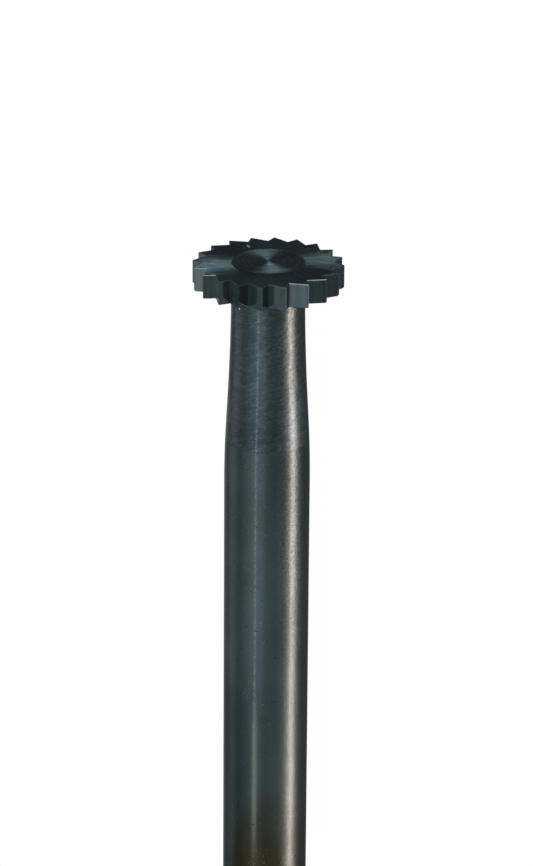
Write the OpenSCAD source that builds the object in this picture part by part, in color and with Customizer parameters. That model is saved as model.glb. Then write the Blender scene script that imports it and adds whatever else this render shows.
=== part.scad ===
// Wheel bur: a toothed cutting wheel on the end of a slim shank, for a
// handpiece or a collet. The wheel is brazed on the spigot of a turned neck,
// and the neck's tail is brazed into the end of a plain round shank.
// Millimetres. The axis is Z, with the shank's rear end at z = 0 and the
// cutting wheel at the top. The teeth cut when the wheel turns anticlockwise
// as seen from above.

/* [Whole bur] */
// Length from the shank's rear end to the wheel's top face
overall_l = 44.5; // [30:0.5:70]

/* [Cutting wheel] */
// Diameter across the tooth tips
wheel_d = 4.1; // [3.6:0.1:7]
// Thickness of the wheel
wheel_t = 0.67; // [0.4:0.01:1.5]
// Number of teeth
teeth = 20; // [12:1:28]
// Depth of a tooth, tip to root, measured along a radius
tooth_depth = 0.3; // [0.15:0.01:0.4]
// Share of a tooth's pitch taken by its steep cutting face
rake_share = 0.265; // [0.1:0.005:0.6]
// Angle of the first tooth tip from +X
tooth_phase = 13.7; // [0:0.1:18]
// Edge break round the teeth at the wheel's underside
edge_break = 0.04; // [0.02:0.01:0.08]

/* [Neck] */
// Diameter of the neck at the wheel
neck_d = 2.0; // [1.6:0.05:2.15]
// Length of the neck, from the wheel to the joint with the shank
neck_l = 4.4; // [4.1:0.1:5.4]
// Length of the hollow flare under the wheel
flare_l = 3; // [1:0.1:3]
// Length of the straight taper under the flare
cone_l = 1; // [0.4:0.1:1]
// Length of the rounded run into the shank's full diameter
blend_l = 1.6; // [1.6:0.1:3]
// Step from the neck in to the spigot that carries the wheel
spigot_step = 0.03; // [0.02:0.01:0.1]
// Height of the spigot's faced end above the wheel
end_proud = 0.04; // [0.02:0.01:0.1]
// Edge break round the spigot's faced end
end_break = 0.01; // [0.005:0.005:0.02]
// Diameter of the centre left in the spigot's end by facing
pip_d = 0.12; // [0.06:0.02:0.3]

/* [Shank] */
// Diameter of the shank, standard for handpieces
shank_d = 2.35; // [2.3:0.01:3.2]
// Chamfer on the shank's rear end
rear_chamfer = 0.25; // [0.1:0.05:0.5]
// Diameter of the neck's tail, inside the shank
tail_d = 1.4; // [1:0.05:1.5]
// Length of the neck's tail
tail_l = 3; // [2:0.1:6]

/* [Brazed joints] */
// Radial gap filled between the wheel's bore and the spigot
wheel_gap = 0.03; // [0.02:0.005:0.05]
// Radial gap filled round the neck's tail
tail_gap = 0.04; // [0.03:0.01:0.08]
// Film between the faces that butt against each other
film_t = 0.02; // [0.01:0.01:0.05]
// Height and width of the fillet under the wheel
fillet = 0.07; // [0.04:0.01:0.12]

/* [Hidden] */

$fn = 96;
root_r = wheel_d / 2 - tooth_depth;
neck_r = neck_d / 2;
shank_r = shank_d / 2;
tail_r = tail_d / 2;
spigot_r = neck_r - spigot_step;
bore_r = spigot_r + wheel_gap;
socket_r = tail_r + tail_gap;
// Heights above the shank's rear end
wheel_z = overall_l - wheel_t;
joint_z = wheel_z - neck_l;
taper_z = wheel_z - flare_l - cone_l - blend_l;
tail_z = joint_z - tail_l;
// Half-angle of a drill's point
drill_a = 59;
// Largest slope of the neck's side, reached along the straight taper
slope = (shank_r - neck_r) / (flare_l / 2 + cone_l + blend_l / 2);
// Steps along each curved stretch of a turned outline
steps = 10;

// Radius of the neck at a depth s under the wheel: a hollow flare, a straight
// taper and a rounded run into the shank, each tangent to the next
function side_r(s) =
    s <= flare_l ? neck_r + slope * s * s / (2 * flare_l) :
    s <= flare_l + cone_l ? neck_r + slope * (s - flare_l / 2) :
    s < flare_l + cone_l + blend_l ?
        shank_r - slope * pow(flare_l + cone_l + blend_l - s, 2) / (2 * blend_l) :
    shank_r;

// Outline points [radius, z] down the neck's side between two depths
function side(from, to) =
    [for (i = [0:steps]) let (s = from + (to - from) * i / steps) [side_r(s), wheel_z - s]];

// A turned solid from half of its outline
module turned(outline) {
    rotate_extrude() polygon(outline);
}

// Each tooth is a tip, then a root just past it, so that its steep face looks
// in the direction of cutting and a long clearance flank climbs to the next tip
module tooth_ring() {
    pitch = 360 / teeth;
    polygon([
        for (k = [0:teeth - 1], end = [0, 1])
            let (a = tooth_phase + pitch * (k + end * rake_share))
            (end == 0 ? wheel_d / 2 : root_r) * [cos(a), sin(a)]
    ]);
}

// Toothed wheel of tool steel, bored through for the spigot
module cutter_wheel() {
    color("darkslategray")
    difference() {
        intersection() {
            translate([0, 0, wheel_z]) linear_extrude(wheel_t) tooth_ring();
            turned([
                [0, wheel_z],
                [wheel_d / 2 - edge_break, wheel_z],
                [wheel_d / 2 + edge_break, wheel_z + 2 * edge_break],
                [wheel_d / 2 + edge_break, overall_l + 1],
                [0, overall_l + 1]
            ]);
        }
        translate([0, 0, wheel_z - 1]) cylinder(h = wheel_t + 2, r = bore_r);
    }
}

// Neck: a faced spigot through the wheel, the slim flared side, and a plain
// tail that goes down into the shank
module neck_spindle() {
    end_z = overall_l + end_proud;
    color("slategray")
    turned(concat(
        [
            [0, end_z + pip_d / 6],
            [pip_d / 2, end_z],
            [spigot_r - end_break, end_z],
            [spigot_r, end_z - end_break],
            [spigot_r, wheel_z - film_t]
        ],
        side(film_t, neck_l),
        [
            [tail_r, joint_z],
            [tail_r, tail_z + tail_gap],
            [tail_r - tail_gap, tail_z],
            [0, tail_z]
        ]
    ));
}

// Shank: plain round bar with a chamfered rear end, and a blind drilled socket
// at its top. Its top millimetre finishes the neck's rounded run
module shank() {
    socket_z = tail_z - film_t;
    color("dimgray")
    turned(concat(
        [[0, 0], [shank_r - rear_chamfer, 0], [shank_r, rear_chamfer]],
        side(wheel_z - taper_z, neck_l + film_t),
        [
            [socket_r, joint_z - film_t],
            [socket_r, socket_z],
            [0, socket_z - socket_r / tan(drill_a)]
        ]
    ));
}

// Filler metal in the wheel's joint: a sleeve round the spigot, a film over the
// neck's shoulder and a small hollow fillet under the wheel
module wheel_braze() {
    color("darkslateblue")
    turned(concat(
        [[spigot_r, overall_l], [spigot_r, wheel_z - film_t], [side_r(film_t), wheel_z - film_t]],
        [
            for (i = [0:steps])
                let (a = 90 * i / steps)
                [
                    side_r(fillet) + fillet * (1 - cos(a)),
                    wheel_z - fillet + fillet * sin(a)
                ]
        ],
        [[bore_r, wheel_z], [bore_r, overall_l]]
    ));
}

// Filler metal in the shank's joint: a cup round the tail, and a film between
// the neck's end face and the shank's
module shank_braze() {
    socket_z = tail_z - film_t;
    color("lightslategray")
    turned([
        [side_r(neck_l), joint_z],
        [tail_r, joint_z],
        [tail_r, tail_z + tail_gap],
        [tail_r - tail_gap, tail_z],
        [0, tail_z],
        [0, socket_z - socket_r / tan(drill_a)],
        [socket_r, socket_z],
        [socket_r, joint_z - film_t],
        [side_r(neck_l + film_t), joint_z - film_t]
    ]);
}

cutter_wheel();
neck_spindle();
shank();
wheel_braze();
shank_braze();
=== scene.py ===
"""Looks of the wheel bur: a blued toothed wheel on a tapered neck and a plain round shank.

Everything is in metres in the CAD frame: the axis is Z, the shank's rear end is at z = 0, and
the wheel is at the top. Each CAD node is replaced by a finely meshed surface of the same form.
"""

import math

import bpy
import numpy as np
from mathutils import Matrix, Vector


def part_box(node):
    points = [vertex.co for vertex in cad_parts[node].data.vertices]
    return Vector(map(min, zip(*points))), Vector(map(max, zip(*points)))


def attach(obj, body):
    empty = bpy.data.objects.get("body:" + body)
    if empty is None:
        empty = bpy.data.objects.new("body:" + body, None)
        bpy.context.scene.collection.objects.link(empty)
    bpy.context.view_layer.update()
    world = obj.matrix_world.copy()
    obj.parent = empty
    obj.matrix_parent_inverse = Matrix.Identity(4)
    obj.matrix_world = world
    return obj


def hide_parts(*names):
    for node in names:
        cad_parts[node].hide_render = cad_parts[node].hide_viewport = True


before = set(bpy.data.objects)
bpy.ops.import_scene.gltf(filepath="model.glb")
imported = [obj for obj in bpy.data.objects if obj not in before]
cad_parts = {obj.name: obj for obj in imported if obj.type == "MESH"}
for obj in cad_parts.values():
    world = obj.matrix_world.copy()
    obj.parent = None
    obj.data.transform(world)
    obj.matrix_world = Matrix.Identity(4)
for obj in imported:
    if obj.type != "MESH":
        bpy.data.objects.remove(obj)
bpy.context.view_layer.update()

MM = 0.001
MICRON = 0.001 * MM
BODY = "root"

# ---------------------------------------------------------------- sizes taken from the frame


def cad_points(node):
    """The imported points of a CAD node, as rows of x, y, z."""
    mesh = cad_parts[node].data
    flat = np.empty(3 * len(mesh.vertices))
    mesh.vertices.foreach_get("co", flat)
    return flat.reshape(-1, 3)


def radii(node):
    """Distance of each of a CAD node's points from the axis."""
    points = cad_points(node)
    return np.hypot(points[:, 0], points[:, 1])


TEETH = 20
PITCH = 2 * math.pi / TEETH
wheel_r = radii("cutter_wheel")
wheel_turn = np.arctan2(*cad_points("cutter_wheel").T[[1, 0]])
TIP_R = wheel_r.max()
BORE_R = wheel_r.min()
ROOT_R = wheel_r[wheel_r > (TIP_R + BORE_R) / 2].min()
WHEEL_LOW, WHEEL_TOP = (corner.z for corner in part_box("cutter_wheel"))
# Angle of the first tooth tip from +X, and how far past its tip each tooth's root lies
TIP_TURN = np.mod(wheel_turn[wheel_r > TIP_R - MICRON], PITCH).mean()
ROOT_TURN = np.mod(wheel_turn[np.abs(wheel_r - ROOT_R) < MICRON] - TIP_TURN, PITCH).mean()

SHANK_R = radii("shank").max()
SHANK_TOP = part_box("shank")[1].z
SPIGOT_R = radii("wheel_braze").min()
JOINT_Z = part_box("shank_braze")[1].z
TAIL_LOW, SPINDLE_TOP = (corner.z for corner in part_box("neck_spindle"))
FILLET_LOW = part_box("wheel_braze")[0].z
FILLET = WHEEL_LOW - FILLET_LOW
FILM = JOINT_Z - SHANK_TOP
# The wheel's bore is as wide as the neck under it
NECK_R = BORE_R

# Stretches of the neck's side, as in the design: hollow flare, straight taper, rounded run-out
FLARE = 3.0 * MM
CONE = 1.0 * MM
BLEND = 1.6 * MM
# The centre that facing leaves in the spigot's end, and the break round that end
PIP_R = 0.06 * MM
PIP_H = 0.02 * MM
END_BREAK = 0.01 * MM
FACE_Z = SPINDLE_TOP - PIP_H
# Inside the shank: the neck's tail, the gap round it and the point of the drilled socket
TAIL_R = 0.7 * MM
TAIL_GAP = 0.04 * MM
SOCKET_R = TAIL_R + TAIL_GAP
SOCKET_LOW = TAIL_LOW - FILM
SOCKET_POINT = SOCKET_LOW - SOCKET_R / math.tan(math.radians(59))
REAR_CHAMFER = 0.25 * MM
# Edge breaks of the wheel: of the tooth tips at the underside, and of both faces' edges
LOW_BREAK = 0.04 * MM
TOP_BREAK = 0.016 * MM
# Heights, above the underside and under the top face, between which the tooth sides are plain
PLAIN_FROM = 0.1 * MM
PLAIN_TO = 0.08 * MM

# Sides of every turned piece
SEGMENTS = 288
# Sharper edges than this aren't smoothed over
SMOOTH_UP_TO = math.radians(20)

# ---------------------------------------------------------------- surfaces


def side_r(depth):
    """Radius of the neck at a depth under the wheel. The slope grows evenly along the hollow flare,
    holds along the straight taper, and falls evenly to nothing along the run-out."""
    slope = (SHANK_R - NECK_R) / (FLARE / 2 + CONE + BLEND / 2)
    left = np.clip(FLARE + CONE + BLEND - depth, 0, BLEND)
    flare = NECK_R + slope * depth**2 / (2 * FLARE)
    taper = NECK_R + slope * (depth - FLARE / 2)
    blend = SHANK_R - slope * left**2 / (2 * BLEND)
    return np.where(depth < FLARE, flare, np.where(depth < FLARE + CONE, taper, blend))


def side(start, end, count):
    """Outline points (radius, z) down the neck's side, evenly spaced between two depths."""
    depth = np.linspace(start, end, count)
    return np.stack([side_r(depth), WHEEL_LOW - depth], axis=1)


def stretch(first, last, count):
    """Outline points (radius, z) evenly spaced on a straight line, its first end left out."""
    share = np.linspace(0, 1, count + 1)[1:, None]
    return (1 - share) * np.array(first) + share * np.array(last)


def new_piece(name, vertices, faces, materials, finish, wear=None):
    """A mesh object at the origin, where finish picks the material of each face. Faces are turned
    outwards: the sum over the faces of a corner dotted with the cross product of its two diagonals
    is positive for an outward shell."""
    quads = faces[0]
    a, b, c, d = (vertices[quads[:, k]] for k in range(4))
    if np.einsum("ij,ij->", a, np.cross(c - a, d - b)) < 0:
        faces = [f[:, ::-1] for f in faces]
    mesh = bpy.data.meshes.new(name)
    mesh.from_pydata(vertices.tolist(), [], [face for f in faces for face in f.tolist()])
    for material in materials:
        mesh.materials.append(material)
    mesh.polygons.foreach_set("material_index", finish)
    if wear is not None:
        mesh.attributes.new("wear", "FLOAT", "POINT").data.foreach_set("value", wear)
    mesh.shade_smooth()
    mesh.set_sharp_from_angle(angle=SMOOTH_UP_TO)
    piece = bpy.data.objects.new(name, mesh)
    bpy.context.scene.collection.objects.link(piece)
    return piece


def rings_to_faces(rows, columns, closed):
    """Quads between successive rings of points, each ring closed on itself. In a closed band the
    last ring also joins the first."""
    row = np.arange(rows if closed else rows - 1)[:, None]
    col = np.arange(columns)[None, :]
    below, above = row * columns, (row + 1) % rows * columns
    after = (col + 1) % columns
    corners = np.stack([below + col, below + after, above + after, above + col], axis=-1)
    return corners.reshape(-1, 4)


def turned(name, outline, materials, finish_at=None):
    """A turned piece: the point (r, z) of the outline goes to (r cos t, r sin t, z) for t right
    round the axis. An outline that starts and ends on the axis is closed there by two poles, and
    any other outline closes on itself. finish_at picks a material from the middle (r, z) of each
    band of faces."""
    outline = np.array(outline)
    poled = outline[0, 0] == 0
    rings = outline[1:-1] if poled else outline
    turn = 2 * math.pi * np.arange(SEGMENTS) / SEGMENTS
    r, z = rings[:, :1], rings[:, 1:]
    points = np.stack([r * np.cos(turn), r * np.sin(turn), z + 0 * turn], axis=-1).reshape(-1, 3)
    faces = [rings_to_faces(len(rings), SEGMENTS, not poled)]
    if poled:
        count = len(points)
        poles = [[0, 0, outline[0, 1]], [0, 0, outline[-1, 1]]]
        points = np.vstack([points, poles])
        here = np.arange(SEGMENTS)
        after = np.roll(here, -1)
        last = (len(rings) - 1) * SEGMENTS
        start_fan = np.stack([after, here, np.full(SEGMENTS, count)], axis=1)
        end_fan = np.stack([last + here, last + after, np.full(SEGMENTS, count + 1)], axis=1)
        faces += [start_fan, end_fan]
        bands = np.vstack([outline[1:-2] + outline[2:-1], outline[:2].sum(0), outline[-2:].sum(0)])
    else:
        bands = outline + np.roll(outline, -1, axis=0)
    finish = np.zeros(len(bands), dtype=int) if finish_at is None else finish_at(*bands.T / 2)
    return new_piece(name, points, faces, materials, np.repeat(finish, SEGMENTS))


def tooth_corners(inset):
    """Corners of the toothed outline, tip and root in turn, moved inwards by inset: a corner
    moves along the bisector of its two sides' normals, by inset over the half-angle's cosine."""
    tooth = TIP_TURN + PITCH * np.arange(TEETH)
    turn = np.stack([tooth, tooth + ROOT_TURN], axis=1).ravel()
    radius = np.tile([TIP_R, ROOT_R], TEETH)
    corner = np.stack([radius * np.cos(turn), radius * np.sin(turn)], axis=1)
    along = np.roll(corner, -1, axis=0) - corner
    along /= np.linalg.norm(along, axis=1, keepdims=True)
    normal = np.stack([along[:, 1], -along[:, 0]], axis=1)
    bisector = normal + np.roll(normal, 1, axis=0)
    bisector /= (1 + np.einsum("ij,ij->i", normal, np.roll(normal, 1, axis=0)))[:, None]
    return corner - inset * bisector


# Shares of each side of a tooth at which it is sampled, closer together at its ends
SIDE_SHARES = np.array([0.015, 0.035, 0.09, 0.2, 0.35, 0.5, 0.65, 0.8, 0.91, 0.965, 0.985])
# Shares of the way from the bore to the rim at which the flat faces are sampled
FACE_SHARES = [0, 0.1, 0.25, 0.4, 0.55, 0.7, 0.82, 0.92, 0.97]
# Wear in a root between teeth, and along the edge of the underside: at a tip it is 1
ROOT_WEAR = 0.6
LOW_EDGE_WEAR = 0.5


def tooth_outline(inset):
    """Points round the toothed wheel: each corner, then points along the straight side after it."""
    corner = tooth_corners(inset)
    after = np.roll(corner, -1, axis=0)
    share = np.concatenate([[0.0], SIDE_SHARES])[None, :, None]
    return ((1 - share) * corner[:, None] + share * after[:, None]).reshape(-1, 2)


def outline_wear():
    """Wear of each point of the toothed outline: full at a tip and just beside it, less in a root,
    and none along the sides."""
    per_side = len(SIDE_SHARES) + 1
    wear = np.zeros((TEETH, 2, per_side))
    wear[:, 0, :2] = 1
    wear[:, 1, -1] = 1
    wear[:, 1, 0] = ROOT_WEAR
    return wear.ravel()


def wheel_rows():
    """The wheel's rings of points, from the bore out along the underside, up the teeth, in over
    the top edge's break and along the top face to the bore, with each ring's share of edge wear.
    Along both faces a point slides on a straight line between the bore and the outline. Near the
    underside a tip is cut back by a 45 degree edge break."""
    rows, edge = [], []

    def add(ring, z, wear):
        rows.append(np.column_stack([ring, np.full(len(ring), z)]))
        edge.append(np.full(len(ring), wear))

    def across(ring, share):
        out = np.linalg.norm(ring, axis=1, keepdims=True)
        return ring * ((1 - share) * BORE_R / out + share)

    def cut_back(ring, height):
        out = np.linalg.norm(ring, axis=1, keepdims=True)
        return ring * np.minimum(1, (TIP_R - LOW_BREAK + height) / out)

    full, inner = tooth_outline(0), tooth_outline(TOP_BREAK)
    for share in FACE_SHARES:
        add(across(inner, share), WHEEL_LOW, 0)
    add(inner, WHEEL_LOW, LOW_EDGE_WEAR)
    add(cut_back(full, TOP_BREAK), WHEEL_LOW + TOP_BREAK, LOW_EDGE_WEAR)
    for height in (2 * TOP_BREAK, LOW_BREAK, 1.5 * LOW_BREAK):
        add(cut_back(full, height), WHEEL_LOW + height, 0)
    for z in np.linspace(WHEEL_LOW + PLAIN_FROM, WHEEL_TOP - PLAIN_TO, 6):
        add(full, z, 0)
    add(full, WHEEL_TOP - 2.5 * TOP_BREAK, 0)
    add(full, WHEEL_TOP - TOP_BREAK, 1)
    add(inner, WHEEL_TOP, 1)
    for share in reversed(FACE_SHARES):
        add(across(inner, share), WHEEL_TOP, 0)
    add(across(inner, 0), (WHEEL_LOW + WHEEL_TOP) / 2, 0)
    return np.stack(rows), np.stack(edge)


def cutter_wheel(finishes):
    """The toothed wheel, as one closed band of rings round the wheel's solid section. Bands between
    rings of the same height are its flat faces, and the break of the lower edge is finished with
    them. Round the teeth, the points of a steep cutting face and of a long flank take turns, and the
    edges between them are worn from just above the lower edge's break. The finishes are for flat
    faces, flanks and cutting faces."""
    rows, edge = wheel_rows()
    count, columns, _ = rows.shape
    height = rows[:, :, 2]
    on_side = (height > WHEEL_LOW + 1.2 * LOW_BREAK) & (height < WHEEL_TOP - TOP_BREAK / 2)
    tips = outline_wear()[None, :] * on_side
    wear = np.maximum(edge, tips).ravel()
    faces = rings_to_faces(count, columns, True)
    faced = (height[:, 0] == np.roll(height[:, 0], -1)) | (height[:, 0] == WHEEL_LOW)
    steep = np.arange(columns) // (len(SIDE_SHARES) + 1) % 2 == 0
    finish = np.where(faced[:, None], 0, np.where(steep, 2, 1)).ravel()
    points = rows.reshape(-1, 3)
    return new_piece("wheel_blued", points, [faces], finishes, finish, wear)


def neck_spindle(side_finish, face_finish, rim_finish):
    """Faced spigot end with its rounded centre, spigot, flared neck and tail. The finishes are for
    the neck's side, the faced end and the spigot's rim."""
    depth = WHEEL_LOW - JOINT_Z
    outline = np.vstack([
        [[0, SPINDLE_TOP], [PIP_R * 0.4, SPINDLE_TOP - PIP_H * 0.3], [PIP_R, FACE_Z]],
        stretch((PIP_R, FACE_Z), (SPIGOT_R - END_BREAK, FACE_Z), 24),
        [[SPIGOT_R, FACE_Z - END_BREAK], [SPIGOT_R, WHEEL_TOP], [SPIGOT_R, WHEEL_LOW - FILM]],
        side(FILM, depth, 70),
        [[TAIL_R, JOINT_Z], [TAIL_R, TAIL_LOW + TAIL_GAP], [TAIL_R - TAIL_GAP, TAIL_LOW]],
        [[0, TAIL_LOW]],
    ])

    def finish_at(r, z):
        above_wheel = np.where(r < SPIGOT_R - END_BREAK, 1, 2)
        return np.where(z > WHEEL_TOP, above_wheel, 0)

    return turned("neck_blued", outline, [side_finish, face_finish, rim_finish], finish_at)


def shank(side_finish, end_finish):
    """Chamfered rear end, plain round bar, the end of the neck's run-out and a drilled socket."""
    run_out = FLARE + CONE + BLEND
    outline = np.vstack([
        [[0, 0], [SHANK_R * 0.5, 0], [SHANK_R - REAR_CHAMFER, 0], [SHANK_R, REAR_CHAMFER]],
        stretch((SHANK_R, REAR_CHAMFER), (SHANK_R, WHEEL_LOW - run_out), 60),
        side(run_out, WHEEL_LOW - SHANK_TOP, 20)[1:],
        [[SOCKET_R, SHANK_TOP], [SOCKET_R, SOCKET_LOW], [0, SOCKET_POINT]],
    ])

    def finish_at(r, z):
        return np.where(z < REAR_CHAMFER / 4, 1, 0)

    return turned("shank_blued", outline, [side_finish, end_finish], finish_at)


def wheel_braze(material):
    """Sleeve of filler round the spigot, and its hollow fillet under the wheel: a quarter circle
    tangent to the neck and to the wheel's underside."""
    turn = np.linspace(0, math.pi / 2, 13)
    foot = float(side_r(np.array(FILLET)))
    arc = np.stack([foot + FILLET * (1 - np.cos(turn)), FILLET_LOW + FILLET * np.sin(turn)], axis=1)
    outline = np.vstack([
        [[SPIGOT_R, WHEEL_TOP], [SPIGOT_R, WHEEL_LOW - FILM], [NECK_R, WHEEL_LOW - FILM]],
        arc,
        [[BORE_R, WHEEL_LOW + MICRON], [BORE_R, WHEEL_TOP]],
    ])
    return turned("wheel_joint_filler", outline, [material])


def shank_braze(material):
    """Cup of filler round the neck's tail, and the film between neck and shank."""
    rim = side_r(WHEEL_LOW - np.array([JOINT_Z, SHANK_TOP]))
    outline = np.array([
        [0, TAIL_LOW],
        [TAIL_R - TAIL_GAP, TAIL_LOW],
        [TAIL_R, TAIL_LOW + TAIL_GAP],
        [TAIL_R, JOINT_Z],
        [rim[0], JOINT_Z],
        [rim[1], SHANK_TOP],
        [SOCKET_R, SHANK_TOP],
        [SOCKET_R, SOCKET_LOW],
        [0, SOCKET_POINT],
    ])
    return turned("shank_joint_filler", outline, [material])


# ---------------------------------------------------------------- node trees


class Tree:
    """Short calls for wiring a node tree. Each returns the new node's first output."""

    def __init__(self, tree):
        self.tree = tree
        tree.nodes.clear()

    def node(self, kind, links=None, **settings):
        made = self.tree.nodes.new(kind)
        for key, value in settings.items():
            setattr(made, key, value)
        for socket, value in (links or {}).items():
            self.put(made.inputs[socket], value)
        return made

    def put(self, socket, value):
        if isinstance(value, bpy.types.NodeSocket):
            self.tree.links.new(value, socket)
        else:
            socket.default_value = value

    def math(self, operation, *values):
        links = dict(enumerate(values))
        return self.node("ShaderNodeMath", links, operation=operation).outputs[0]

    def vector(self, operation, *values):
        links = dict(enumerate(values))
        made = self.node("ShaderNodeVectorMath", links, operation=operation)
        scalar = operation in ("LENGTH", "DOT_PRODUCT", "DISTANCE")
        return made.outputs["Value" if scalar else "Vector"]

    def smooth(self, value, low, high, out_low=0.0, out_high=1.0):
        """Eases from out_low to out_high as value goes from low to high."""
        links = {"Value": value, "From Min": low, "From Max": high}
        links.update({"To Min": out_low, "To Max": out_high})
        made = self.node("ShaderNodeMapRange", links, interpolation_type="SMOOTHSTEP")
        return made.outputs["Result"]

    def noise(self, vector, scale, detail=2.0, roughness=0.5):
        links = {"Vector": vector, "Scale": scale, "Detail": detail, "Roughness": roughness}
        return self.node("ShaderNodeTexNoise", links).outputs["Fac"]

    def mix(self, share, first, second, blend="MIX"):
        made = self.node("ShaderNodeMix", data_type="RGBA", blend_type=blend)
        for index, value in ((0, share), (6, first), (7, second)):
            self.put(made.inputs[index], value)
        return made.outputs[2]

    def grey(self, value):
        """A colour of equal parts."""
        return self.join(value, value, value)

    def tint(self, share, colour, tint):
        """The colour, multiplied by a tint where the share is full."""
        return self.mix(share, colour, (*tint, 1), "MULTIPLY")

    def shade(self, colour, shade):
        """The colour, multiplied by a grey value everywhere."""
        return self.mix(1.0, colour, self.grey(shade), "MULTIPLY")

    def split(self, vector):
        return self.node("ShaderNodeSeparateXYZ", {0: vector}).outputs

    def join(self, x, y, z):
        return self.node("ShaderNodeCombineXYZ", {0: x, 1: y, 2: z}).outputs[0]

    def place(self):
        """The point on the piece, in millimetres."""
        point = self.node("ShaderNodeTexCoord").outputs["Object"]
        return self.vector("MULTIPLY", point, (1 / MM, 1 / MM, 1 / MM))

    def group(self, tree, **values):
        made = self.node("ShaderNodeGroup", node_tree=tree)
        for key, value in values.items():
            self.put(made.inputs[key.replace("_", " ")], value)
        return made.outputs


VALUE, COLOUR, VECTOR = "NodeSocketFloat", "NodeSocketColor", "NodeSocketVector"


def new_group(name, inputs, outputs):
    """An empty node group with its named sockets, and the Tree that fills it."""
    group = bpy.data.node_groups.new(name, "ShaderNodeTree")
    for direction, sockets in (("INPUT", inputs), ("OUTPUT", outputs)):
        for title, kind in sockets.items():
            group.interface.new_socket(title, in_out=direction, socket_type=kind)
    tree = Tree(group)
    return group, tree, tree.node("NodeGroupInput").outputs, tree.node("NodeGroupOutput").inputs


# ---------------------------------------------------------------- effects shared by the steels


def polar_group():
    """A point's place round the axis: its radius, and its direction (x/r, y/r) turned further by
    Swirl radians for each millimetre of radius."""
    inputs = {"Place": VECTOR, "Swirl": VALUE}
    outputs = dict.fromkeys(("Radius", "Turn", "Along", "Across"), VALUE)
    group, tree, given, out = new_group("polar_place", inputs, outputs)
    x, y, _ = tree.split(given["Place"])
    radius = tree.vector("LENGTH", tree.join(x, y, 0.0))
    turn = tree.math("ARCTAN2", y, x)
    swirled = tree.math("ADD", turn, tree.math("MULTIPLY", radius, given["Swirl"]))
    tree.put(out["Radius"], radius)
    tree.put(out["Turn"], turn)
    tree.put(out["Along"], tree.math("COSINE", swirled))
    tree.put(out["Across"], tree.math("SINE", swirled))
    return group


def marks_group():
    """Fine tool marks: two sizes of noise over a place that is already stretched along the marks.
    Height is for a Bump, Streak picks out the brightest marks."""
    inputs = {"Place": VECTOR, "Scale": VALUE}
    outputs = {"Height": VALUE, "Streak": VALUE}
    group, tree, given, out = new_group("tool_marks", inputs, outputs)
    broad = tree.noise(given["Place"], given["Scale"], 3.0, 0.6)
    fine = tree.noise(given["Place"], tree.math("MULTIPLY", given["Scale"], 2.9), 2.0, 0.6)
    height = tree.math("ADD", tree.math("MULTIPLY", broad, 0.6), tree.math("MULTIPLY", fine, 0.4))
    tree.put(out["Height"], height)
    tree.put(out["Streak"], tree.smooth(height, 0.5, 0.66))
    return group


def grain_group():
    """The skin that heat and fine grit leave on steel: an even grain with a share Swell of a broader
    one, rare bright specks and rarer dark pits, each where its own noise passes a threshold."""
    inputs = {"Place": VECTOR, "Scale": VALUE, "Swell": VALUE}
    outputs = dict.fromkeys(("Height", "Specks", "Pits"), VALUE)
    group, tree, given, out = new_group("scaled_grain", inputs, outputs)
    fine = tree.noise(given["Place"], given["Scale"], 2.0, 0.6)
    swell = tree.noise(given["Place"], tree.math("MULTIPLY", given["Scale"], 0.8), 0.0)
    specks = tree.noise(given["Place"], tree.math("MULTIPLY", given["Scale"], 0.9), 0.0)
    specked = tree.smooth(specks, 0.71, 0.80, 0.0, 0.4)
    crowded = tree.smooth(tree.noise(given["Place"], 1.1, 1.0), 0.45, 0.7)
    pits = tree.noise(tree.vector("ADD", given["Place"], PIT_SHIFT), 11.0, 0.0)
    tree.put(out["Height"], tree.math("MULTIPLY_ADD", swell, given["Swell"], fine))
    tree.put(out["Specks"], tree.math("MULTIPLY", specked, crowded))
    tree.put(out["Pits"], tree.smooth(pits, 0.83, 0.86, 0.0, 0.8))
    return group


def sparkle_group():
    """Fine glitter of a grit-blasted or heated skin, painted into the colour: a shade, about 1, by
    which the colour is multiplied, brighter on the crests of a fine noise and darker in its hollows."""
    inputs = {"Place": VECTOR, "Scale": VALUE, "Depth": VALUE}
    group, tree, given, out = new_group("glittering_skin", inputs, {"Shade": VALUE})
    coarse = tree.noise(given["Place"], given["Scale"], 1.0, 0.5)
    fine = tree.noise(given["Place"], tree.math("MULTIPLY", given["Scale"], 2.1), 0.0)
    both = tree.math("ADD", coarse, tree.math("MULTIPLY", fine, 0.6))
    away = tree.math("SUBTRACT", both, 0.8)
    tree.put(out["Shade"], tree.math("MULTIPLY_ADD", away, given["Depth"], 1.0))
    return group


def oxide_group():
    """Colour of the oxide film that heat leaves, from its Age: 0 deep blue, through brown and straw,
    to bare steel at 1. Cloud shifts it with slow, patchy noise."""
    inputs = {"Place": VECTOR, "Age": VALUE, "Cloud": VALUE}
    outputs = {"Colour": COLOUR, "Bare": VALUE}
    group, tree, given, out = new_group("oxide_film", inputs, outputs)
    patch = tree.noise(given["Place"], 1.3, 3.0, 0.55)
    shift = tree.math("MULTIPLY", tree.math("SUBTRACT", patch, 0.5), given["Cloud"])
    age = tree.math("ADD", given["Age"], shift)
    ramp = tree.node("ShaderNodeValToRGB", {"Fac": age})
    film = ramp.color_ramp
    film.elements[0].position = 0.0
    film.elements[0].color = (*BLUED, 1)
    film.elements[1].position = 1.0
    film.elements[1].color = (*BARE_STEEL, 1)
    for position, colour in FILM_STAGES:
        film.elements.new(position).color = (*colour, 1)
    cloudy = tree.smooth(tree.noise(given["Place"], 0.7, 2.0), 0.3, 0.7, 0.92, 1.08)
    tree.put(out["Colour"], tree.shade(ramp.outputs["Color"], cloudy))
    tree.put(out["Bare"], tree.smooth(age, 0.55, 0.95))
    return group


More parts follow.
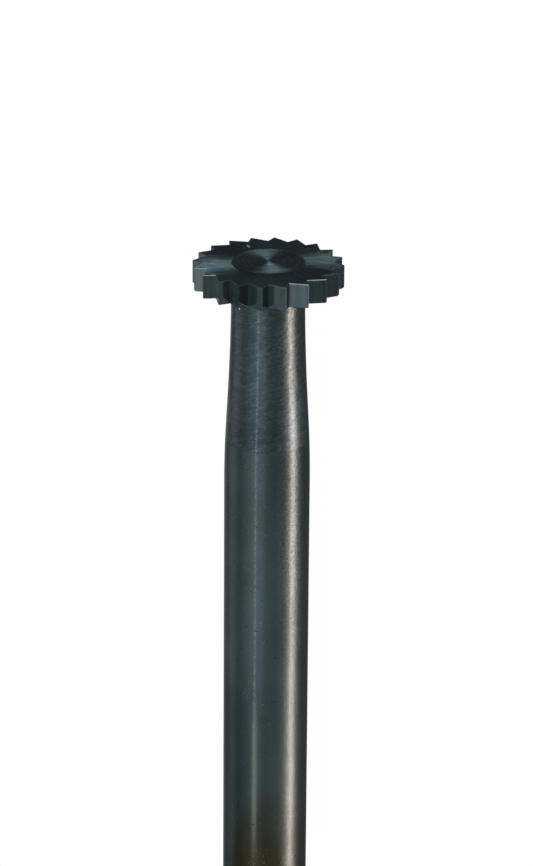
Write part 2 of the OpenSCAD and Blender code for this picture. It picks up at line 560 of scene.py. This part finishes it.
def wear_group():
    """Worn edges: the piece's own wear attribute, broken up by noise into bright stretches."""
    inputs = {"Wear": VALUE, "Place": VECTOR, "Amount": VALUE}
    group, tree, given, out = new_group("edge_wear", inputs, {"Mask": VALUE})
    broken = tree.smooth(tree.noise(given["Place"], 9.0, 3.0, 0.7), 0.32, 0.6, 0.25, 1.0)
    worn = tree.math("MULTIPLY", given["Wear"], given["Amount"])
    tree.put(out["Mask"], tree.math("MULTIPLY", worn, broken))
    return group


def spot_group():
    """One small mark on a flat end: full at Centre and gone at Size from it, its outline uneven."""
    inputs = {"Place": VECTOR, "Centre": VECTOR, "Size": VALUE}
    group, tree, given, out = new_group("small_mark", inputs, {"Mask": VALUE})
    away = tree.vector("DISTANCE", given["Place"], given["Centre"])
    ragged = tree.math("MULTIPLY", tree.noise(given["Place"], 14.0, 1.0), 0.06)
    uneven = tree.math("SUBTRACT", tree.math("ADD", away, ragged), 0.03)
    share = tree.math("DIVIDE", uneven, given["Size"])
    tree.put(out["Mask"], tree.smooth(share, 0.55, 1.0, 1.0, 0.0))
    return group


# ---------------------------------------------------------------- colours and places of finishes

# Mirror colours of steel: under its deep blue film, under the later films, and bare
BLUED = (0.200, 0.250, 0.268)
BARE_STEEL = (0.50, 0.49, 0.47)
FILM_STAGES = [
    (0.22, (0.195, 0.240, 0.235)),
    (0.34, (0.170, 0.165, 0.120)),
    (0.48, (0.200, 0.150, 0.090)),
    (0.62, (0.330, 0.260, 0.150)),
    (0.78, (0.440, 0.400, 0.310)),
]
WORN_EDGE = (0.55, 0.62, 0.64, 1)
SPECK = (0.6, 0.62, 0.58, 1)
SOOT = (0.035, 0.045, 0.055, 1)
# Shift, in millimetres, that keeps the pits' noise apart from the specks'
PIT_SHIFT = (7.0, 3.0, 11.0)

# Wheel face: hollows and crests of its marks, their sweep in radians for each millimetre, a darker
# tint towards the back, and painted shade on the right that dims the top light's reflection there
FACE_HOLLOW = (0.12, 0.155, 0.175, 1)
FACE_CREST = (0.36, 0.45, 0.47, 1)
FACE_SWEEP = 0.16
BACK_TURN = 1.8
BACK_TINT = (0.78, 0.82, 0.84)
RIGHT_PAINTED_SHADE = (0.80, 0.80, 0.80)
# A pale slanting nick in it: a round spot in a place that is sheared and squeezed along Y
NICK = (0.95, 0.78, 0.52, 1)
NICK_SHEAR = 0.333
NICK_SQUEEZE = 0.35
NICK_CENTRE = (-0.129, 0.448, WHEEL_TOP / MM)
NICK_SIZE = 0.05
# Crests of the marks along the tooth sides
SIDE_CREST = (0.28, 0.33, 0.34, 1)
# Spigot: hollows and crests of its end's rings, a stain there, and the dark rim round it
RING_HOLLOW = (0.105, 0.135, 0.15, 1)
RING_CREST = (0.36, 0.42, 0.43, 1)
STAIN_CENTRE = (-0.275, -0.115, FACE_Z / MM)
STAIN_SIZE = 0.07
RIM_HOLLOW = (0.07, 0.10, 0.12, 1)
RIM_CREST = (0.20, 0.26, 0.29, 1)
# Crests of the rings on the rear end, and warm metal showing through a filler's film
REAR_CREST = (0.62, 0.60, 0.57, 1)
WARM_FILLER = (0.42, 0.34, 0.18, 1)

# Lengthwise bands round neck and shank, all in degrees: angle from the front towards the right,
# half width within which the band shows, and half width within which it is full. A tint is what
# a band multiplies the film's colour by. The bands are fixed round the bar: the warm sheen, the shaded
# band and the glitter band are painted light and shade, and the brown, grey, pale and dull bands are
# partly the film's own colour and partly painted reflection and shade
BROWN_BAND = (80, 31, 15)
BROWN_TINT = (1.0, 0.86, 0.78)
# A painted warm sheen along the reflection of the warm soft box
WARM_SHEEN_BAND = (37, 34, 12)
WARM_SHEEN_TINT = (1.0, 0.90, 0.855)
SHADED_BAND = (27, 9, 3)
SHADED_TINT = (0.78, 0.78, 0.78)
# Where the painted glitter is deepest: along the warm soft box's reflection
PAINTED_GLITTER_BAND = (37, 26, 10)
# Angle of the line rubbed smooth on the front left, lightened there as a painted highlight, and the
# height where it is widest
LINE_TURN = math.radians(-15 - 90)
LINE_BEST_Z = 29.8

# Neck: height of its joint, a greyer band at the left, and at the foot a darker tint all round,
# a painted sheen of lighter steel at the right and a painted rim glint at the left
NECK_FOOT = JOINT_Z / MM
GREY_BAND = (-50, 17, 7)
GREY_TINT = (1.36, 1.2, 1.2)
FOOT_TINT = (0.80, 0.84, 0.86)
FOOT_SHEEN_BAND = (45, 34, 11)
FOOT_SHEEN_STEEL = (0.40, 0.47, 0.49, 1)
RIM_GLINT_BAND = (-84, 24, 10)
RIM_GLINT_STEEL = (0.56, 0.55, 0.44, 1)
# Hollows and crests of its turned marks, how far they climb with each radian, and its rubbed line's
# painted highlight
TURNED_HOLLOW = (0.09, 0.105, 0.11, 1)
TURNED_CREST = (0.40, 0.44, 0.44, 1)
MARKS_CLIMB = 0.3
NECK_LINE_HIGHLIGHT = (0.56, 0.64, 0.60, 1)

# Shank: a paler band down the front, a darker band round the left below a height, and its line's
# painted highlight
PALE_BAND = (15, 17, 6)
PALE_TINT = (1.26, 1.25, 1.25)
DULL_BAND = (-72, 84, 65)
DULL_Z = 33.6
DULL_TINT = (0.66, 0.72, 0.72)
SHANK_LINE_HIGHLIGHT = (0.58, 0.55, 0.46, 1)
# The film is deep blue down to one height and gone at the other. That is along a tongue at the
# front left, and elsewhere the film reaches further down, by the tongue's rise
BLUE_Z = 31.2
BARE_Z = 22.0
TONGUE_TURN = math.radians(-14 - 90)
TONGUE_RISE = 3.1
# Straw tint of the film below a height
STRAW_Z = 29.6
STRAW_TINT = (0.92, 0.86, 0.82)
# The skin is smooth below the first height and gritty above the second
SMOOTH_Z = 31.0
GRITTY_Z = 38.0

MARKS = marks_group()
POLAR = polar_group()
GRAIN = grain_group()
SPARKLE = sparkle_group()
OXIDE = oxide_group()
WEAR = wear_group()
SPOT = spot_group()

# ---------------------------------------------------------------- materials


def new_material(name):
    """An empty material and the Tree that fills it."""
    material = bpy.data.materials.new(name)
    material.use_nodes = True
    return material, Tree(material.node_tree)


def finish_metal(tree, colour, roughness, height, depth, anisotropy=0.0, turned=0.0, metallic=1.0):
    """The metal shader: height is bumped by depth. An anisotropic finish spreads its light along
    the circle round the axis, or with turned at a quarter, along the radius."""
    bump = {"Height": height, "Distance": depth, "Strength": 1.0}
    normal = tree.node("ShaderNodeBump", bump).outputs[0]
    links = {"Base Color": colour, "Metallic": metallic, "Roughness": roughness, "Normal": normal}
    shader = tree.node("ShaderNodeBsdfPrincipled", links)
    if anisotropy:
        round_axis = tree.node("ShaderNodeTangent", direction_type="RADIAL", axis="Z").outputs[0]
        shader.inputs["Anisotropic"].default_value = anisotropy
        shader.inputs["Anisotropic Rotation"].default_value = turned
        tree.put(shader.inputs["Tangent"], round_axis)
    output = tree.node("ShaderNodeOutputMaterial")
    tree.put(output.inputs["Surface"], shader.outputs[0])


def worn_edges(tree, place, amount):
    """Mask of the worn edges of a piece that carries the wear attribute."""
    wear = tree.node("ShaderNodeAttribute", attribute_name="wear").outputs["Fac"]
    return tree.group(WEAR, Wear=wear, Place=place, Amount=amount)["Mask"]


def ring_marks(tree, place, scale):
    """Turned rings on a flat end: marks stretched round the axis."""
    x, y, _ = tree.split(place)
    radius = tree.group(POLAR, Place=place, Swirl=0.0)["Radius"]
    rings = tree.join(radius, tree.math("MULTIPLY", x, 0.06), tree.math("MULTIPLY", y, 0.06))
    return tree.group(MARKS, Place=rings, Scale=scale)


def bar_marks(tree, place, level, scale):
    """Turned marks on neck or shank: they run round the bar where level stays the same."""
    x, y, _ = tree.split(place)
    round_it = tree.join(tree.math("MULTIPLY", x, 0.3), tree.math("MULTIPLY", y, 0.3), level)
    return tree.group(MARKS, Place=round_it, Scale=scale)


def around(tree, turn, band):
    """A lengthwise band round the bar: full about its angle and eased away to nothing."""
    angle, reach, full = band
    off = tree.math("COSINE", tree.math("SUBTRACT", turn, math.radians(angle - 90)))
    return tree.smooth(off, math.cos(math.radians(reach)), math.cos(math.radians(full)))


def tinted_brown_and_sheened(tree, turn, colour, filmed):
    """The film's colour, where there is film, with its brown band and a painted warm sheen along the
    warm soft box's reflection.
    """
    for band, tint in ((BROWN_BAND, BROWN_TINT), (WARM_SHEEN_BAND, WARM_SHEEN_TINT)):
        share = tree.math("MULTIPLY", around(tree, turn, band), filmed)
        colour = tree.tint(share, colour, tint)
    return colour


def glittering(tree, place, colour, depth):
    """The colour under the painted glitter of the bar's skin."""
    return tree.shade(colour, tree.group(SPARKLE, Place=place, Scale=17.0, Depth=depth)["Shade"])


def burnished_and_highlit_line(tree, place):
    """A lengthwise line on the front left of neck and shank, rubbed smoother than the rest and
    lightened
    in colour as a painted highlight: a narrow band of angle round the axis. It is thin and broken into
    painted glints above, and wider, softer and whole low down, where it comes to an end."""
    turn = tree.group(POLAR, Place=place, Swirl=0.0)["Turn"]
    z = tree.split(place)["Z"]
    low = tree.smooth(z, LINE_BEST_Z + 3.0, LINE_BEST_Z + 1.0)
    off = tree.math("ABSOLUTE", tree.math("SUBTRACT", turn, LINE_TURN))
    width = tree.math("MULTIPLY_ADD", low, math.radians(3.4), math.radians(2.6))
    band = tree.smooth(tree.math("DIVIDE", off, width), 0.0, 1.0, 1.0, 0.0)
    glints = tree.smooth(tree.noise(place, 21.0, 2.0, 0.6), 0.44, 0.60, 0.10, 1.0)
    whole = tree.math("MAXIMUM", glints, tree.math("MULTIPLY", low, 0.8))
    end = tree.smooth(z, LINE_BEST_Z - 3.4, LINE_BEST_Z - 0.8)
    return tree.math("MULTIPLY", tree.math("MULTIPLY", band, whole), end)


def wheel_face():
    """The wheel's flat faces, ground with marks that run out from the bore with a slight sweep."""
    material, tree = new_material("ground_wheel_face")
    place = tree.place()
    polar = tree.group(POLAR, Place=place, Swirl=FACE_SWEEP)
    slow = tree.math("MULTIPLY", polar["Radius"], 0.05)
    marks = tree.group(MARKS, Place=tree.join(polar["Along"], polar["Across"], slow), Scale=34.0)
    film = tree.group(OXIDE, Place=place, Age=0.0, Cloud=0.2)
    colour = tree.mix(tree.smooth(marks["Height"], 0.36, 0.64), FACE_HOLLOW, film["Colour"])
    colour = tree.mix(tree.math("MULTIPLY", marks["Streak"], 0.7), colour, FACE_CREST)
    # Darker towards the back
    backward = tree.math("COSINE", tree.math("SUBTRACT", polar["Turn"], BACK_TURN))
    colour = tree.tint(tree.smooth(backward, 0.6, 0.95), colour, BACK_TINT)
    # Painted shade on the right, dimming the top light's reflection there
    rightward = tree.math("COSINE", polar["Turn"])
    colour = tree.tint(tree.smooth(rightward, 0.7, 1.0), colour, RIGHT_PAINTED_SHADE)
    colour = tree.mix(worn_edges(tree, place, 0.6), colour, WORN_EDGE)
    x, y, z = tree.split(place)
    sheared = tree.math("MULTIPLY_ADD", y, NICK_SHEAR, x)
    lengthways = tree.join(sheared, tree.math("MULTIPLY", y, NICK_SQUEEZE), z)
    nick = tree.group(SPOT, Place=lengthways, Centre=NICK_CENTRE, Size=NICK_SIZE)["Mask"]
    colour = tree.mix(nick, colour, NICK)
    roughness = tree.smooth(marks["Height"], 0.35, 0.65, 0.26, 0.40)
    metallic = tree.math("SUBTRACT", 1.0, nick)
    finish_metal(tree, colour, roughness, marks["Height"], 3.5 * MICRON, 1.0, metallic=metallic)
    return material


def tooth_side(name, tint, amount, smoothest):
    """Tooth sides, ground along the axis: what their film is multiplied by, which on the cutting faces
    is painted light that lightens them against the flanks, the amount of wear along their edges, and
    their roughness away from it."""
    material, tree = new_material(name)
    place = tree.place()
    x, y, z = tree.split(place)
    along = tree.join(x, y, tree.math("MULTIPLY", z, 0.12))
    marks = tree.group(MARKS, Place=along, Scale=24.0)
    grain = tree.group(GRAIN, Place=place, Scale=34.0, Swell=0.3)
    film = tree.group(OXIDE, Place=place, Age=0.0, Cloud=0.25)
    mottle = tree.smooth(tree.noise(along, 7.0, 4.0, 0.65), 0.32, 0.68, 0.84, 1.14)
    colour = tree.shade(tree.tint(1.0, film["Colour"], tint), mottle)
    colour = tree.mix(tree.math("MULTIPLY", marks["Streak"], 0.35), colour, SIDE_CREST)
    colour = tree.mix(grain["Specks"], colour, WORN_EDGE)
    worn = worn_edges(tree, place, amount)
    colour = tree.mix(worn, colour, WORN_EDGE)
    height = tree.math("ADD", marks["Height"], tree.math("MULTIPLY", grain["Height"], 0.5))
    roughness = tree.math("MULTIPLY_ADD", worn, 0.12, smoothest)
    finish_metal(tree, colour, roughness, height, 0.15 * MICRON)
    return material


def spigot_face():
    """The spigot's faced end, turned with fine rings round its centre."""
    material, tree = new_material("turned_spigot_face")
    place = tree.place()
    marks = ring_marks(tree, place, 19.0)
    film = tree.group(OXIDE, Place=place, Age=0.02, Cloud=0.2)
    colour = tree.mix(tree.smooth(marks["Height"], 0.38, 0.62), RING_HOLLOW, film["Colour"])
    colour = tree.mix(tree.math("MULTIPLY", marks["Streak"], 0.75), colour, RING_CREST)
    stain = tree.group(SPOT, Place=place, Centre=STAIN_CENTRE, Size=STAIN_SIZE)["Mask"]
    colour = tree.mix(tree.math("MULTIPLY", stain, 0.6), colour, SOOT)
    roughness = tree.smooth(marks["Height"], 0.3, 0.7, 0.38, 0.46)
    finish_metal(tree, colour, roughness, marks["Height"], 2.5 * MICRON, 0.9, 0.25)
    return material


def spigot_wall():
    """The low rim of the spigot where it stands out of the wheel, dark with flux and oxide."""
    material, tree = new_material("sooty_spigot_rim")
    place = tree.place()
    grain = tree.group(GRAIN, Place=place, Scale=30.0, Swell=0.3)
    colour = tree.mix(grain["Height"], RIM_HOLLOW, RIM_CREST)
    finish_metal(tree, colour, 0.5, grain["Height"], 1.5 * MICRON)
    return material


def neck_flare():
    """The neck's side: slightly climbing turned marks under a grain with painted glitter, with
    lengthwise bands of brown and grey tone and a painted warm sheen, and at its foot a painted sheen,
    a painted rim glint and shaded stretches."""
    material, tree = new_material("turned_neck")
    place = tree.place()
    z = tree.split(place)["Z"]
    turn = tree.group(POLAR, Place=place, Swirl=0.0)["Turn"]
    marks = bar_marks(tree, place, tree.math("MULTIPLY_ADD", turn, -MARKS_CLIMB, z), 13.0)
    grain = tree.group(GRAIN, Place=place, Scale=26.0, Swell=0.4)
    film = tree.group(OXIDE, Place=place, Age=0.0, Cloud=0.12)
    low = tree.smooth(z, NECK_FOOT + 3.0, NECK_FOOT + 0.6)
    # Brown band and painted warm sheen
    colour = tinted_brown_and_sheened(tree, turn, film["Colour"], 1.0)
    colour = tree.tint(around(tree, turn, GREY_BAND), colour, GREY_TINT)
    # Painted sheen: lighter steel at the right of the foot, widening the warm strip's reflection
    foot_sheen = tree.math("MULTIPLY", low, around(tree, turn, FOOT_SHEEN_BAND))
    beside_foot_sheen = tree.math("SUBTRACT", 1.0, foot_sheen)
    foot = tree.smooth(z, NECK_FOOT + 1.3, NECK_FOOT + 0.3, 0.0, beside_foot_sheen)
    colour = tree.tint(foot, colour, FOOT_TINT)
    colour = tree.mix(tree.math("MULTIPLY", foot_sheen, 0.46), colour, FOOT_SHEEN_STEEL)
    lower = tree.smooth(z, NECK_FOOT + 2.4, NECK_FOOT + 0.8)
    # Painted glint on the left rim at the foot
    rubbed = tree.math("MULTIPLY", lower, around(tree, turn, RIM_GLINT_BAND))
    colour = tree.mix(tree.math("MULTIPLY", rubbed, 0.6), colour, RIM_GLINT_STEEL)
    hollow = tree.smooth(marks["Height"], 0.56, 0.36, 0.0, 0.45)
    colour = tree.mix(hollow, colour, TURNED_HOLLOW)
    colour = tree.mix(tree.math("MULTIPLY", marks["Streak"], 0.36), colour, TURNED_CREST)
    # Painted glitter, deepest along the warm soft box's reflection
    depth = tree.math("MULTIPLY_ADD", around(tree, turn, PAINTED_GLITTER_BAND), 0.8, 0.35)
    colour = glittering(tree, place, colour, depth)
    shaded = tree.math("MULTIPLY", low, around(tree, turn, SHADED_BAND))
    colour = tree.tint(shaded, colour, SHADED_TINT)
    line = burnished_and_highlit_line(tree, place)
    # Painted highlight of the rubbed line
    colour = tree.mix(tree.math("MULTIPLY", line, 0.55), colour, NECK_LINE_HIGHLIGHT)
    colour = tree.mix(grain["Specks"], colour, SPECK)
    height = tree.math("MULTIPLY_ADD", marks["Height"], 0.7, grain["Height"])
    roughness = tree.smooth(line, 0.0, 1.0, 0.32, 0.26)
    finish_metal(tree, colour, roughness, height, 3.8 * MICRON)
    return material


def shank_side():
    """The shank: blued from the joint down, then the browner and paler films of cooler steel, their
    edges slanting round the bar, over a grain with specks and pits that is gritty at the top."""
    material, tree = new_material("blued_shank")
    place = tree.place()
    z = tree.split(place)["Z"]
    turn = tree.group(POLAR, Place=place, Swirl=0.0)["Turn"]
    swell = tree.smooth(z, SMOOTH_Z, GRITTY_Z, 0.1, 0.45)
    grain = tree.group(GRAIN, Place=place, Scale=26.0, Swell=swell)
    marks = bar_marks(tree, place, z, 9.0)
    facing = tree.math("COSINE", tree.math("SUBTRACT", turn, TONGUE_TURN))
    level = tree.math("ADD", z, tree.smooth(facing, 1.0, 0.6, 0.0, TONGUE_RISE))
    span = {"Value": level, "From Min": BARE_Z, "From Max": BLUE_Z, "To Min": 1.0, "To Max": 0.0}
    age = tree.node("ShaderNodeMapRange", span).outputs["Result"]
    film = tree.group(OXIDE, Place=place, Age=age, Cloud=0.22)
    filmed = tree.math("SUBTRACT", 1.0, film["Bare"])
    below = tree.smooth(z, NECK_FOOT, NECK_FOOT - 2.0)
    pale = tree.math("MULTIPLY", around(tree, turn, PALE_BAND), below)
    colour = tree.tint(pale, film["Colour"], PALE_TINT)
    dulled = tree.smooth(z, DULL_Z, DULL_Z - 2.5)
    dull = tree.math("MULTIPLY", around(tree, turn, DULL_BAND), dulled)
    colour = tree.tint(dull, colour, DULL_TINT)
    upper = tree.smooth(z, SMOOTH_Z, SMOOTH_Z + 4.0)
    shaded = tree.math("MULTIPLY", around(tree, turn, SHADED_BAND), upper)
    colour = tree.tint(shaded, colour, SHADED_TINT)
    # Brown band and painted warm sheen
    colour = tinted_brown_and_sheened(tree, turn, colour, filmed)
    straw = tree.math("MULTIPLY", tree.smooth(z, STRAW_Z, STRAW_Z - 3.0), filmed)
    colour = tree.tint(straw, colour, STRAW_TINT)
    # Painted glitter, deepest along the warm soft box's reflection
    bright = tree.math("MULTIPLY_ADD", around(tree, turn, PAINTED_GLITTER_BAND), 1.0, 0.35)
    depth = tree.math("MULTIPLY", bright, tree.smooth(z, SMOOTH_Z, GRITTY_Z, 0.3, 1.0))
    colour = glittering(tree, place, colour, depth)
    line = burnished_and_highlit_line(tree, place)
    # Painted highlight of the rubbed line
    colour = tree.mix(tree.math("MULTIPLY", line, 0.62), colour, SHANK_LINE_HIGHLIGHT)
    colour = tree.mix(grain["Specks"], colour, SPECK)
    colour = tree.mix(grain["Pits"], colour, SOOT)
    height = tree.math("ADD", grain["Height"], tree.math("MULTIPLY", marks["Height"], 0.35))
    satin = tree.smooth(z, NECK_FOOT - 4.5, NECK_FOOT - 1.5, 0.32, 0.305)
    roughness = tree.math("MULTIPLY_ADD", line, -0.04, satin)
    finish_metal(tree, colour, roughness, height, 4.2 * MICRON)
    return material


def rear_end():
    """The shank's sawn and faced rear end: bare steel with turned rings."""
    material, tree = new_material("faced_rear_end")
    place = tree.place()
    marks = ring_marks(tree, place, 12.0)
    film = tree.group(OXIDE, Place=place, Age=0.9, Cloud=0.15)
    colour = tree.mix(tree.math("MULTIPLY", marks["Streak"], 0.3), film["Colour"], REAR_CREST)
    roughness = tree.smooth(marks["Height"], 0.3, 0.7, 0.32, 0.42)
    finish_metal(tree, colour, roughness, marks["Height"], 2.0 * MICRON, 0.8, 0.25)
    return material


def filler(name, film):
    """Brazing filler under a film of its own, with a little warm metal showing."""
    material, tree = new_material(name)
    place = tree.place()
    grain = tree.group(GRAIN, Place=place, Scale=18.0, Swell=0.3)
    warm = tree.smooth(tree.noise(place, 6.0, 3.0, 0.6), 0.58, 0.72)
    colour = tree.mix(tree.math("MULTIPLY", warm, 0.35), (*film, 1), WARM_FILLER)
    roughness = tree.smooth(grain["Height"], 0.3, 0.7, 0.38, 0.52)
    finish_metal(tree, colour, roughness, grain["Height"], 2.0 * MICRON)
    return material


# ---------------------------------------------------------------- light


def softbox_group():
    """A tall soft box of light, as a mask over directions: full within a half width of its centre
    azimuth, gone a soft edge further out, and between two elevations."""
    inputs = dict.fromkeys(("Azimuth", "Height", "Centre", "Half width", "Edge", "Low", "High"), VALUE)
    group, tree, here, out = new_group("softbox", inputs, {"Mask": VALUE})
    off = tree.math("SUBTRACT", here["Azimuth"], here["Centre"])
    off = tree.math("ABSOLUTE", tree.math("WRAP", off, 180.0, -180.0))
    beyond = tree.math("SUBTRACT", off, here["Half width"])
    across = tree.smooth(beyond, 0.0, here["Edge"], 1.0, 0.0)
    over = tree.smooth(tree.math("SUBTRACT", here["Height"], here["Low"]), -0.08, 0.08)
    under = tree.smooth(tree.math("SUBTRACT", here["High"], here["Height"]), -0.08, 0.08)
    tree.put(out["Mask"], tree.math("MULTIPLY", tree.math("MULTIPLY", across, over), under))
    return group


# Soft boxes: azimuth from the front towards the right, half width and soft edge in degrees,
# lowest and highest direction height (sine of the elevation), colour and strength
SOFTBOXES = [
    (74.6, 1.0, 3.2, -1, -0.19, (1.0, 0.84, 0.77), 14.1),
    (74.5, 8.0, 10.0, -0.19, 0.3, (1.0, 0.93, 0.88), 0.9),
    (20, 25.0, 15.0, -1, 0.3, (0.85, 0.98, 1.0), 0.03),
    (-28.5, 1.2, 2.0, -1, 0.3, (0.86, 1.0, 0.96), 0.25),
    (-22, 12.0, 9.0, -1, 0.3, (0.85, 0.96, 1.0), 0.29),
    (-50, 13.0, 9.0, -1, 0.3, (0.82, 0.96, 1.0), 0.175),
    (-91, 3.0, 6.0, -1, 0.3, (0.80, 0.96, 1.0), 0.10),
    (-108, 9.0, 7.0, -1, 0.2, (1.0, 0.96, 1.0), 0.19),
    (-160, 6.0, 10.0, -1, -0.1, (1.0, 0.98, 0.84), 0.25),
]
# Light of the dim room, below and above the horizon
AMBIENT = (0.078, 0.098, 0.102)
UPPER_AMBIENT = (0.062, 0.075, 0.083)
# Round lights: direction of the centre, the two radii in degrees, colour and strength. One is
# high behind the object, seen in the ground faces. The other is a pale ceiling in front, seen in
# the edges
TOP_LIGHT = ((0.11, 0.45, 0.886), (5.0, 12.0), (0.77, 1.0, 1.02), 3.6)
CEILING = ((0.0, -0.42, 0.907), (14.0, 34.0), (0.95, 1.0, 1.0), 0.75)


def round_light(tree, direction, centre, radius, colour, strength):
    """A round light about a direction: full inside the first radius and gone at the second."""
    facing = tree.vector("DOT_PRODUCT", direction, centre)
    inner, outer = (math.cos(math.radians(angle)) for angle in radius)
    glow = tree.smooth(facing, outer, inner, 0.0, strength)
    return tree.shade((*colour, 1), glow)


def studio():
    """The surroundings: a pure white backdrop to look at, and for the steel to mirror a dim even
    room with tall soft boxes and round lights overhead."""
    world = bpy.data.worlds.new("studio")
    bpy.context.scene.world = world
    world.use_nodes = True
    tree = Tree(world.node_tree)
    direction = tree.node("ShaderNodeTexCoord").outputs["Generated"]
    x, y, z = tree.split(direction)
    azimuth = tree.math("DEGREES", tree.math("ARCTAN2", x, tree.math("MULTIPLY", y, -1.0)))
    group = softbox_group()
    light = round_light(tree, direction, *TOP_LIGHT)
    light = tree.mix(1.0, light, round_light(tree, direction, *CEILING), "ADD")
    room = tree.mix(tree.smooth(z, -0.15, 0.25), (*AMBIENT, 1), (*UPPER_AMBIENT, 1))
    light = tree.mix(1.0, light, room, "ADD")
    for centre, half, edge, low, high, colour, strength in SOFTBOXES:
        mask = tree.group(group, Azimuth=azimuth, Height=z, Centre=centre, Half_width=half,
                          Edge=edge, Low=low, High=high)["Mask"]
        glow = tree.shade((*(strength * c for c in colour), 1), mask)
        light = tree.mix(1.0, light, glow, "ADD")
    seen = tree.node("ShaderNodeLightPath").outputs["Is Camera Ray"]
    colour = tree.mix(seen, light, (1.0, 1.0, 1.0, 1))
    background = tree.node("ShaderNodeBackground", {"Color": colour})
    output = tree.node("ShaderNodeOutputWorld")
    tree.put(output.inputs["Surface"], background.outputs[0])


# Half the floor's width, and how close to the object it starts to darken
FLOOR_REACH = 3.0
FLOOR_SHADE = 3 * MM


def floor():
    """A wide pale floor at the foot of the shank, as bright as the backdrop, with a painted contact
    shadow that makes it a little darker close to what stands on it, and clear from underneath."""
    far = FLOOR_REACH
    corners = [(-far, -far, 0), (far, -far, 0), (far, far, 0), (-far, far, 0)]
    mesh = bpy.data.meshes.new("floor")
    mesh.from_pydata(corners, [], [(0, 1, 2, 3)])
    made = bpy.data.objects.new("floor", mesh)
    bpy.context.scene.collection.objects.link(made)
    material, tree = new_material("pale_floor")
    # Painted contact shadow from ambient occlusion
    near = tree.node("ShaderNodeAmbientOcclusion", {"Distance": FLOOR_SHADE}, samples=8).outputs["AO"]
    shade = tree.smooth(near, 0.3, 1.0, 0.55, 1.0)
    shader = tree.node("ShaderNodeEmission", {"Color": (1, 1, 1, 1), "Strength": shade})
    clear = tree.node("ShaderNodeBsdfTransparent")
    behind = tree.node("ShaderNodeNewGeometry").outputs["Backfacing"]
    surface = tree.node("ShaderNodeMixShader", {0: behind, 1: shader.outputs[0], 2: clear.outputs[0]})
    output = tree.node("ShaderNodeOutputMaterial")
    tree.put(output.inputs["Surface"], surface.outputs[0])
    mesh.materials.append(material)
    made.visible_glossy = False
    made.visible_diffuse = False
    made.visible_shadow = False


# ---------------------------------------------------------------- camera

# Height on the axis that the camera looks at, its distance from there, its pitch down, its roll,
# its shift to the side, and the focal length in millimetres
AIM_Z = WHEEL_TOP - 4.95 * MM
DISTANCE = 118.63 * MM
PITCH_DOWN = math.radians(21.97)
ROLL = math.radians(0.381)
SIDE_SHIFT = -0.0215 * MM
LENS = 180.6


def camera():
    """A long lens looking down at the head from the front: the camera sits back from its aim
    along the reverse of its view direction."""
    data = bpy.data.cameras.new("camera")
    data.lens = LENS
    data.sensor_width = 36
    data.clip_start, data.clip_end = 5 * MM, 20.0
    made = bpy.data.objects.new("camera", data)
    bpy.context.scene.collection.objects.link(made)
    back, up = DISTANCE * math.cos(PITCH_DOWN), DISTANCE * math.sin(PITCH_DOWN)
    made.location = (SIDE_SHIFT, -back, AIM_Z + up)
    look = Matrix.Rotation(math.pi / 2 - PITCH_DOWN, 3, "X") @ Matrix.Rotation(ROLL, 3, "Z")
    made.rotation_euler = look.to_euler()
    bpy.context.scene.camera = made


# ---------------------------------------------------------------- the scene

bpy.context.scene.view_settings.view_transform = "Standard"
studio()
floor()
camera()

wheel_finishes = [
    wheel_face(),
    tooth_side("ground_tooth_flank", (1.0, 1.0, 1.0), 0.75, 0.12),
    # Cutting faces: their tint is painted light, lightening them against the flanks
    tooth_side("ground_cutting_face_painted_lighter", (1.5, 1.41, 1.34), 0.25, 0.08),
]
pieces = [
    (cutter_wheel(wheel_finishes), "cutter_wheel", "wheel_steel"),
    (neck_spindle(neck_flare(), spigot_face(), spigot_wall()), "neck_spindle", "neck_steel"),
    (shank(shank_side(), rear_end()), "shank", "shank_steel"),
    (wheel_braze(filler("blackened_filler", (0.14, 0.17, 0.18))), "wheel_braze", "filler"),
    (shank_braze(filler("dressed_filler", (0.17, 0.19, 0.19))), "shank_braze", "filler"),
]
for piece, node, slot in pieces:
    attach(piece, BODY)
    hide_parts(node)
